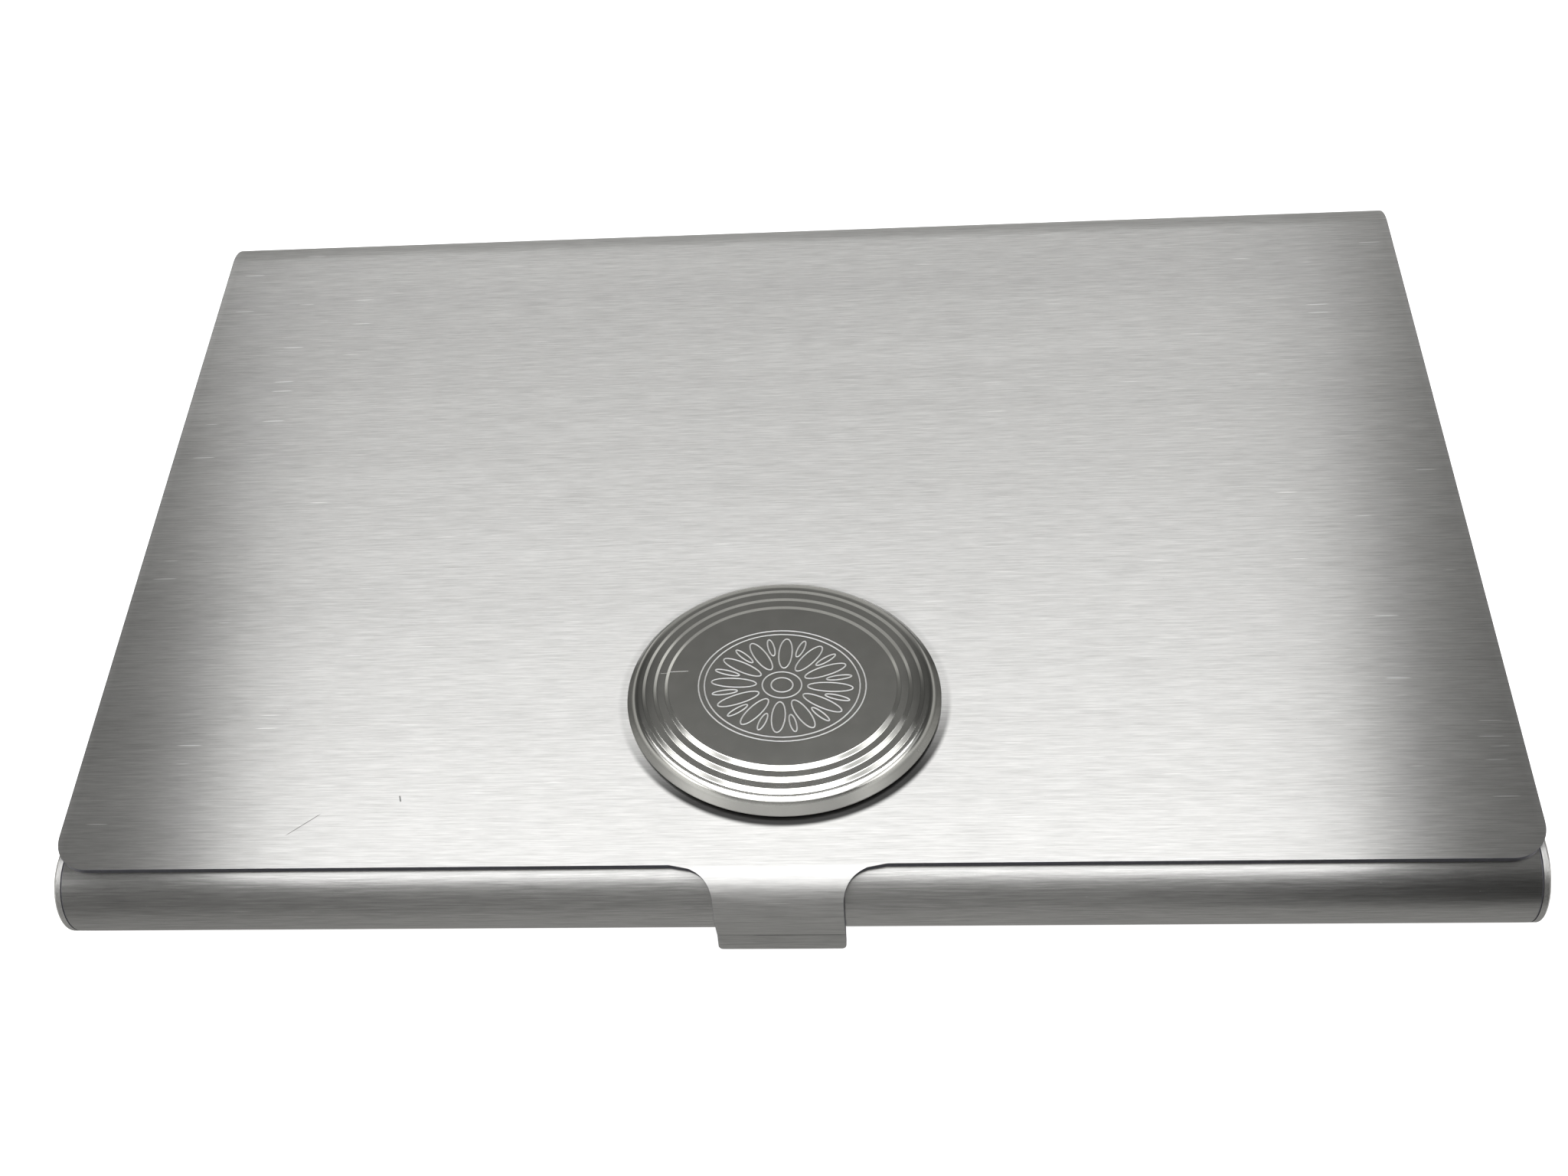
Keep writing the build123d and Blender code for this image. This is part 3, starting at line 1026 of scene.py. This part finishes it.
@dataclass
class OvalPlaque:
    """Oval plaque whose rim climbs to a flat field in three rounded steps; sizes in millimetres."""

    turn: float = -4.0
    half_long: float = 10.5
    half_short: float = 9.0
    rim_height: float = 1.15
    taper: float = 0.31
    shoulder: float = 0.66
    undercut: float = 0.25
    rim_land: float = 0.16
    steps: int = 3
    step_rise: float = 0.14
    step_pitch: float = 0.76
    step_run: float = 0.34
    step_easing: float = 0.18
    segments: int = 160
    corner_steps: int = 6
    slope_steps: int = 12
    smooth_angle: float = 40.0

    def __post_init__(self) -> None:
        """Find the plaque on the lid."""
        low, high = (millimetres(corner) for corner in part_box("medallion"))
        self.foot = Vector(((low.x + high.x) / 2, (low.y + high.y) / 2, low.z))

    def corner(self, centre: tuple[float, float], radius: float, start: float, end: float) -> list[tuple]:
        """Profile points of a rounded edge.

        Args:
            centre: Inset and height of its middle.
            radius: Its radius.
            start: First angle in degrees, from straight out towards straight up.
            end: Last angle.

        Returns:
            Inset and height of each point.
        """
        points = []
        for k in range(self.corner_steps + 1):
            angle = math.radians(start + (end - start) * k / self.corner_steps)
            points.append((centre[0] - radius * math.cos(angle), centre[1] + radius * math.sin(angle)))
        return points

    def step(self, inset: float, level: float) -> list[tuple]:
        """Profile points of one step, whose slope grows and fades gently."""
        count = self.slope_steps
        slopes = []
        for k in range(count):
            share = (k + 0.5) / count
            slopes.append(min(1.0, share / self.step_easing, (1.0 - share) / self.step_easing))
        points, climbed = [], 0.0
        for k, slope in enumerate(slopes):
            climbed += slope / sum(slopes)
            points.append((inset + self.step_run * (k + 1) / count, level + self.step_rise * climbed))
        return points

    def profile(self) -> list[tuple]:
        """Inset and height of each ring, from the foot to the field."""
        lean = math.degrees(math.atan(self.taper / self.rim_height))
        foot_x = self.undercut * (1 + math.tan(math.radians(lean)))
        points = self.corner((foot_x, self.undercut), self.undercut, -90.0, lean)
        shoulder_x = self.taper + self.shoulder
        points += self.corner((shoulder_x, self.rim_height - self.shoulder), self.shoulder, lean, 90.0)
        inset, level = shoulder_x + self.rim_land, self.rim_height
        points.append((inset, level))
        for _ in range(self.steps):
            points += self.step(inset, level)
            level += self.step_rise
            inset += self.step_pitch
            points.append((inset, level))
        return points

    def build(self, finish: bpy.types.Material) -> bpy.types.Object:
        """Turn the plaque ring by ring.

        Args:
            finish: Material of the plaque.

        Returns:
            The plaque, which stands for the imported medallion.
        """
        points = self.profile()
        deselect()
        bpy.ops.mesh.primitive_circle_add(vertices=self.segments, radius=1.0, fill_type="NGON")
        piece = Workpiece("oval_plaque")
        bpy.ops.mesh.select_all(action="SELECT")
        bpy.ops.mesh.flip_normals()
        last_x, last_y, last_z = 1.0, 1.0, 0.0
        for index, (inset, height) in enumerate(points):
            if index:
                piece.pull((0.0, 0.0, height - last_z))
            next_x, next_y = self.half_long - inset, self.half_short - inset
            factors = (next_x / last_x, next_y / last_y, 1.0)
            bpy.ops.transform.resize(value=factors, center_override=(0.0, 0.0, height))
            last_x, last_y, last_z = next_x, next_y, height
        bpy.ops.mesh.select_all(action="SELECT")
        bpy.ops.mesh.normals_make_consistent(inside=False)
        piece.close()
        piece.thing.rotation_euler = (0.0, 0.0, math.radians(self.turn))
        piece.thing.location = self.foot
        bpy.ops.object.transform_apply(location=True, rotation=True, scale=True)
        piece.smooth(self.smooth_angle)
        piece.dress(finish)
        plaque = piece.settle("lid", "polished_steel")
        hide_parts("medallion")
        return plaque


# ---------------------------------------------------------------- rosette


@dataclass
class RosetteEngraving:
    """Plain rosette of fine raised lines on the field of the plaque; sizes in millimetres.

    A petal is given by the distances of its root and tip from the middle and by half its width.
    """

    turn: float = -4.0
    line: float = 0.052
    flatten: float = 0.55
    stretch: float = 1.3
    petals: int = 12
    long_petal: tuple[float, float, float] = (1.3, 3.6, 0.34)
    short_petal: tuple[float, float, float] = (2.3, 3.6, 0.16)
    rings: tuple[float, ...] = (0.55, 1.0, 3.95, 4.25)
    ring_steps: int = 72
    petal_steps: int = 12
    parts: list[bpy.types.Object] = field(default_factory=list)

    def __post_init__(self) -> None:
        """Find the field of the plaque."""
        low, high = (millimetres(corner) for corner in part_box("medallion"))
        self.middle = (low + high) / 2
        self.level = high.z

    def stroke(self, points: Sequence[tuple[float, float]]) -> None:
        """Lay one line that returns to its start.

        Args:
            points: Places that it passes, before the rosette is stretched to an oval.
        """
        curve = bpy.data.curves.new("stroke", "CURVE")
        curve.dimensions = "3D"
        curve.bevel_depth = self.line
        curve.bevel_resolution = 1
        spline = curve.splines.new("POLY")
        spline.points.add(len(points) - 1)
        for point, (x, y) in zip(spline.points, points):
            point.co = (x * self.stretch, y, 0.0, 1.0)
        spline.use_cyclic_u = True
        thing = bpy.data.objects.new("stroke", curve)
        bpy.context.scene.collection.objects.link(thing)
        self.parts.append(thing)

    def ring(self, radius: float) -> None:
        """Lay one ring around the middle."""
        turns = [math.tau * k / self.ring_steps for k in range(self.ring_steps)]
        self.stroke([(radius * math.cos(turn), radius * math.sin(turn)) for turn in turns])

    def petal(self, degrees: float, inner: float, outer: float, half_width: float) -> None:
        """Lay the outline of one petal.

        Args:
            degrees: Direction in which it points.
            inner: Distance of its root from the middle.
            outer: Distance of its tip from the middle.
            half_width: Half of its greatest width.
        """
        angle = math.radians(degrees)
        points = []
        for k in range(2 * self.petal_steps):
            swing = math.pi * k / self.petal_steps
            along = inner + (outer - inner) * (1.0 - math.cos(swing)) / 2
            aside = half_width * math.sin(swing)
            points.append(
                (
                    along * math.cos(angle) - aside * math.sin(angle),
                    along * math.sin(angle) + aside * math.cos(angle),
                )
            )
        self.stroke(points)

    def build(self, finish: bpy.types.Material) -> bpy.types.Object:
        """Join the whole rosette and lay it on the field.

        Args:
            finish: Material of the lines.

        Returns:
            The rosette.
        """
        for radius in self.rings:
            self.ring(radius)
        pitch = 360.0 / self.petals
        for k in range(self.petals):
            self.petal(k * pitch, *self.long_petal)
            self.petal((k + 0.5) * pitch, *self.short_petal)
        deselect()
        for part in self.parts:
            part.select_set(True)
        bpy.context.view_layer.objects.active = self.parts[0]
        bpy.ops.object.convert(target="MESH")
        bpy.ops.object.join()
        piece = Workpiece("rosette_engraving")
        bpy.ops.mesh.select_all(action="SELECT")
        bpy.ops.mesh.normals_make_consistent(inside=False)
        piece.close()
        piece.thing.scale = (1.0, 1.0, self.flatten)
        piece.thing.rotation_euler = (0.0, 0.0, math.radians(self.turn))
        piece.thing.location = (self.middle.x, self.middle.y, self.level)
        bpy.ops.object.transform_apply(location=True, rotation=True, scale=True)
        bpy.ops.object.shade_smooth()
        piece.thing.data.materials.clear()
        piece.dress(finish)
        return piece.settle("lid", "polished_steel")


# ---------------------------------------------------------------- studio


@dataclass(frozen=True)
class Softbox:
    """White rectangular lamp that shines straight down; sizes in metres."""

    name: str
    place: tuple[float, float]
    size: tuple[float, float]
    radiance: float
    height: float = 0.60

    def build(self) -> bpy.types.Object:
        """Hang the lamp."""
        light = bpy.data.lights.new(self.name, "AREA")
        light.shape = "RECTANGLE"
        light.size, light.size_y = self.size
        light.energy = self.radiance * math.pi * self.size[0] * self.size[1]
        lamp = bpy.data.objects.new(self.name, light)
        down = Vector((0.0, 0.0, -1.0)).to_track_quat("-Z", "Y").to_matrix().to_4x4()
        lamp.matrix_world = Matrix.Translation((*self.place, self.height)) @ down
        bpy.context.scene.collection.objects.link(lamp)
        return lamp


@dataclass(frozen=True)
class Viewpoint:
    """Camera of the main view; lengths in millimetres and angles in degrees."""

    place: Point = (8.301, -74.158, 101.907)
    yaw: float = -7.169
    pitch: float = 54.606
    roll: float = -7.022
    lens: float = 38.45
    sensor: float = 36.0

    def build(self) -> bpy.types.Object:
        """Set up the camera."""
        yaw, pitch, roll = (math.radians(value) for value in (self.yaw, self.pitch, self.roll))
        ahead = Vector(
            (math.sin(yaw) * math.cos(pitch), math.cos(yaw) * math.cos(pitch), -math.sin(pitch))
        )
        right = Vector((math.cos(yaw), -math.sin(yaw), 0.0))
        up = right.cross(ahead)
        across = right * math.cos(roll) + up * math.sin(roll)
        above = up * math.cos(roll) - right * math.sin(roll)
        settings = bpy.data.cameras.new("main_view")
        settings.lens = self.lens
        settings.sensor_width = self.sensor
        settings.clip_start = 0.005
        camera = bpy.data.objects.new("main_view", settings)
        turn = Matrix((across, above, -ahead)).transposed().to_4x4()
        camera.matrix_world = Matrix.Translation(Vector(self.place) * MILLIMETRE) @ turn
        bpy.context.scene.collection.objects.link(camera)
        bpy.context.scene.camera = camera
        return camera


@dataclass(frozen=True)
class Studio:
    """Pale floor and dome, a dim room and soft lamps; lengths in metres."""

    floor_size: float = 4.0
    floor_gap: float = 0.0001
    floor_glow: float = 0.80
    room: float = 0.20
    room_tint: Colour = (1.0, 0.995, 0.965)
    low_glow: float = 0.15
    side_fall: float = 0.06
    dark_corner: float = 0.85
    dark_ceiling: float = 0.34
    back_glow: float = 0.17
    side_glow: float = 0.60
    backdrop_radius: float = 3.0

    def floor(self) -> bpy.types.Object:
        """Lay the floor just under the case."""
        deselect()
        bpy.ops.mesh.primitive_plane_add(size=self.floor_size, location=(0.0, 0.0, -self.floor_gap))
        floor = bpy.context.object
        floor.name = "floor"
        bpy.ops.object.transform_apply(location=True, rotation=True, scale=True)
        floor.data.materials.append(self.paper("pale_floor", self.floor_glow))
        floor.visible_glossy = False
        return floor

    def paper(self, name: str, glow: float) -> bpy.types.Material:
        """Pale paper with a faint mottle, which glows a little.

        Args:
            name: Name of the material.
            glow: Strength of its own light.

        Returns:
            The material.
        """
        graph = Graph(name)
        mottle = graph.noise(graph.place(), (0.01, 0.01, 0.01), 2.0)
        paper = graph.shade((0.90, 0.90, 0.90), 0.99 + mottle * 0.02)
        white = (1.0, 1.0, 1.0, 1.0)
        constants = {"Roughness": 0.9, "Emission Color": white, "Emission Strength": glow}
        return graph.finish(constants, {"Base Color": paper})

    def backdrop(self) -> bpy.types.Object:
        """Put a pale dome behind everything, which only the camera sees."""
        deselect()
        bpy.ops.mesh.primitive_uv_sphere_add(segments=48, ring_count=24, radius=self.backdrop_radius)
        dome = bpy.context.object
        dome.name = "backdrop"
        bpy.ops.object.shade_smooth()
        dome.data.materials.append(self.paper("pale_backdrop", 1.0))
        for ray in ("diffuse", "glossy", "transmission", "volume_scatter", "shadow"):
            setattr(dome, f"visible_{ray}", False)
        return dome

    def room_light(self) -> None:
        """Fill the room with dim light: dimmer overhead and near right, paler below, behind and far aside.
        """
        world = bpy.data.worlds.new("room")
        bpy.context.scene.world = world
        graph = Graph("room", world)
        heading = graph.node("ShaderNodeTexCoord", output="Generated")
        aside, ahead, up = (graph.axis(heading, name) for name in "XYZ")
        off_middle = aside.magnitude().rise(0.2, 0.5)
        below = up.rise(0.0, -0.6)
        near_right = aside.rise(0.05, 0.32) * ahead.rise(-0.25, -0.6) * up.rise(-0.35, 0.0)
        overhead = ahead.rise(-0.1, 0.3) * up.rise(0.55, 0.75)
        behind = ahead.rise(0.62, 0.88) * up.rise(-0.3, 0.05)
        low_or_in_front = up.rise(0.50, 0.30).most(ahead.rise(0.0, -0.3))
        far_aside = aside.magnitude().rise(0.47, 0.65) * low_or_in_front
        level = self.room - off_middle * self.side_fall + below * self.low_glow
        level = level * (1.0 - near_right * self.dark_corner) * (1.0 - overhead * self.dark_ceiling)
        level = level + behind * self.back_glow + far_aside * self.side_glow
        light = {"Color": (*self.room_tint, 1.0), "Strength": level}
        graph.output("ShaderNodeOutputWorld", graph.node("ShaderNodeBackground", None, light))

    def hang_lamps(self) -> None:
        """Hang four lamps over the case, and two at the sides that light only the plaque."""
        for lamp in (
            Softbox("back_softbox", (-0.0445, 0.105), (0.495, 0.17), 5.0),
            Softbox("front_softbox", (-0.0445, -0.165), (0.495, 0.35), 1.8),
            Softbox("left_softbox", (-0.52, -0.22), (0.26, 0.36), 1.2),
            Softbox("right_softbox", (0.46, -0.22), (0.26, 0.36), 1.2),
        ):
            lamp.build()
        lit = bpy.data.collections.new("plaque_only")
        lit.objects.link(bpy.data.objects["oval_plaque"])
        for lamp in (
            Softbox("plaque_left", (-0.48, -0.08), (0.37, 0.44), 0.45),
            Softbox("plaque_right", (0.40, -0.08), (0.39, 0.44), 0.45),
        ):
            lamp.build().light_linking.receiver_collection = lit

    def build(self) -> None:
        """Set up floor, backdrop, room, lamps and colour."""
        self.floor()
        self.backdrop()
        self.room_light()
        self.hang_lamps()
        bpy.context.scene.view_settings.view_transform = "Standard"


# ---------------------------------------------------------------- the whole case


class CardCase:
    """All pieces of the case with their finishes."""

    def __init__(self) -> None:
        """Make each finish once."""
        half_width = millimetres(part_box("lid_shell")[1]).x
        plaque = OvalPlaque()
        field_level = millimetres(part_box("medallion")[1]).z
        plaque_scratch = Scratch((-7.2, -15.08, field_level), 2.0, 2.4, 0.03, 0.6)
        # Painted contact shadow of the plaque on the lid.
        foot_shadow = PaintedFootShadow(
            (plaque.foot.x, plaque.foot.y, 7.0), plaque.turn, (plaque.half_long, plaque.half_short)
        )
        lid_marks = (
            Scratch((-30.85, -25.2, 7.0), 37.0, 2.7, 0.035, 0.8),
            Scratch((-24.75, -23.4, 7.0), -73.0, 0.5, 0.07, 0.8),
            # The third darkens a thin line on the front of the thumb tab, along its crease.
            Scratch((1.1, -31.05, 2.47), 0.0, 6.4, 0.05, 0.55, on_front=True),
        )
        self.lid_steel = BrushedSteel(
            "lid_brushed_steel",
            roughness=0.29,
            anisotropy=1.0,
            rotation=0.25,
            rim=(half_width, 0.6),
            scratches=lid_marks,
            foot_shadow=foot_shadow,
        ).material()
        self.tray_steel = BrushedSteel(
            "tray_brushed_steel", roughness=0.23, anisotropy=1.0, rotation=0.25
        ).material()
        self.plate_steel = BrushedSteel("plate_brushed_steel", Grain.ALONG_Y).material()
        self.plaque_steel = PolishedSteel("plaque_polished_steel", scratches=(plaque_scratch,)).material()
        self.etched_steel = EtchedSteel("etched_lines").material()

    def dress(self, node: str, finish: bpy.types.Material) -> None:
        """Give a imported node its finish."""
        thing = frame["nodes"][node]
        for index in range(len(thing.material_slots)):
            thing.material_slots[index].material = finish
        LOG.info("%s is dressed in %s", node, finish.name)

    def dress_nodes(self) -> None:
        """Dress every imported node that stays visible."""
        pin_steel = PinSteel("turned_pin_steel").material()
        nylon = NaturalNylon("natural_nylon").material()
        for side in ("left", "right"):
            self.dress(f"end_plate_{side}", self.plate_steel)
            self.dress(f"lid_ear_{side}", self.plate_steel)
            self.dress(f"hinge_pin_{side}", pin_steel)
            self.dress(f"hinge_washer_{side}", nylon)
        self.dress("card_spring", SpringSteel("rolled_spring_steel").material())
        self.dress("card_spring_rivets", pin_steel)
        self.dress("medallion_pad", DarkFoamAndGapShade("foam_and_gap_shade").material())

    def build(self) -> None:
        """Build and dress every piece."""
        self.dress_nodes()
        # Cut and rounded edges share one dark finish of painted shade and painted reflection.
        shaded_edge = ShadedEdgeSteel("edges_with_painted_shade").material()
        LidSheet().build(self.lid_steel, shaded_edge)
        TraySheet().build(self.tray_steel, shaded_edge)
        WeldMarks().build(self.plate_steel)
        OvalPlaque().build(self.plaque_steel)
        RosetteEngraving().build(self.etched_steel)


def main() -> None:
    """Build the case and its studio."""
    logging.basicConfig(level=logging.INFO, format="%(name)s: %(message)s")
    Viewpoint().build()
    CardCase().build()
    Studio().build()


if __name__ == "__main__":
    main()
